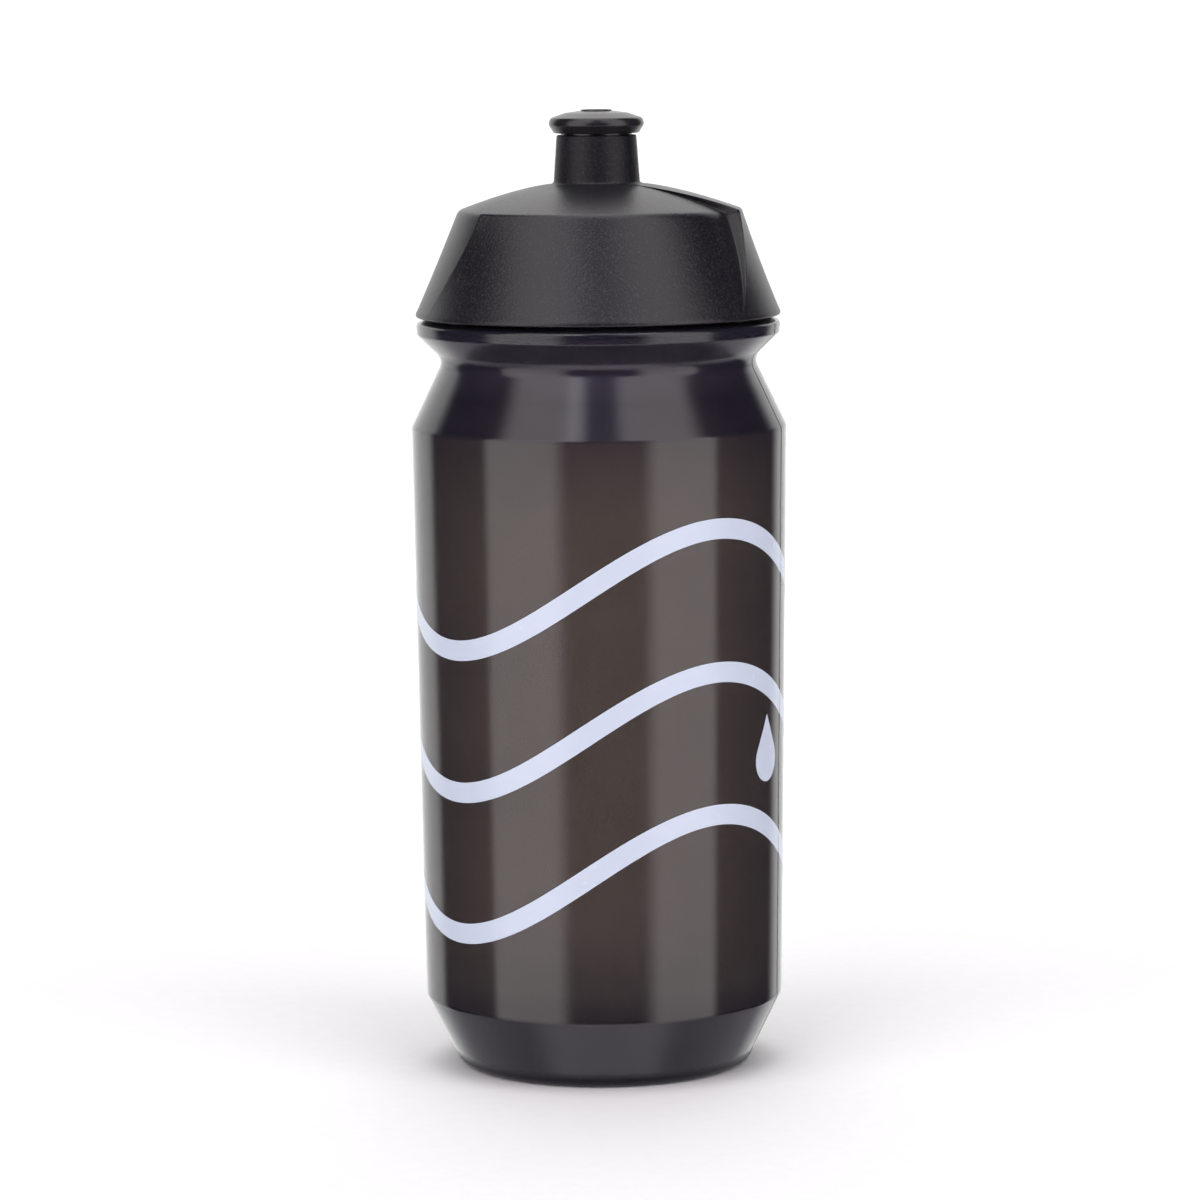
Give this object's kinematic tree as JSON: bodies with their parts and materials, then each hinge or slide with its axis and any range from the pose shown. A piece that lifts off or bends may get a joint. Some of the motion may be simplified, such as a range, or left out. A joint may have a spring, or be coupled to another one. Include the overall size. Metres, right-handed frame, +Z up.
{
  "type": "bicycle water bottle",
  "caption": "Tapered squeeze bottle for a bicycle cage, with a waist, a swirled screw cap and a push-pull drinking valve.",
  "frame": {"origin": "centre of the foot ring, on the plane that the bottle stands on", "axes": "+Z up along the bottle's axis; -Y is the printed front"},
  "size_m": [0.0741, 0.0742, 0.19],
  "materials": {
    "smoke_body": "smoke tinted, slightly see-through, smooth",
    "cap_plastic": "fine grained",
    "seal_rubber": "matte",
    "pin_plastic": "satin",
    "stem_plastic": "smooth",
    "soft_valve": "soft satin"
  },
  "bodies": {
    "bottle": {"bottle_body": "smoke_body"},
    "seal": {"seal_ring": "seal_rubber"},
    "cap": {"screw_cap": "cap_plastic", "centre_pin": "pin_plastic"},
    "valve": {"valve_stem": "stem_plastic", "mouthpiece": "soft_valve"}
  },
  "joints": [
    {"name": "cap_rise", "type": "slide", "parent": "bottle", "child": "seal", "axis": [0, 0, 1], "range_m": [0, 0.0066]},
    {"name": "cap_turn", "type": "hinge", "parent": "seal", "child": "cap", "pos_m": [0, 0, 0.1665], "axis": [0, 0, 1], "range_deg": [0, 468]},
    {"name": "valve_pull", "type": "slide", "parent": "cap", "child": "valve", "axis": [0, 0, 1], "range_m": [0, 0.006]}
  ],
  "couplings": [
    {"joint": "cap_rise", "follows": "cap_turn", "m_per_rad": 0.00079577}
  ]
}
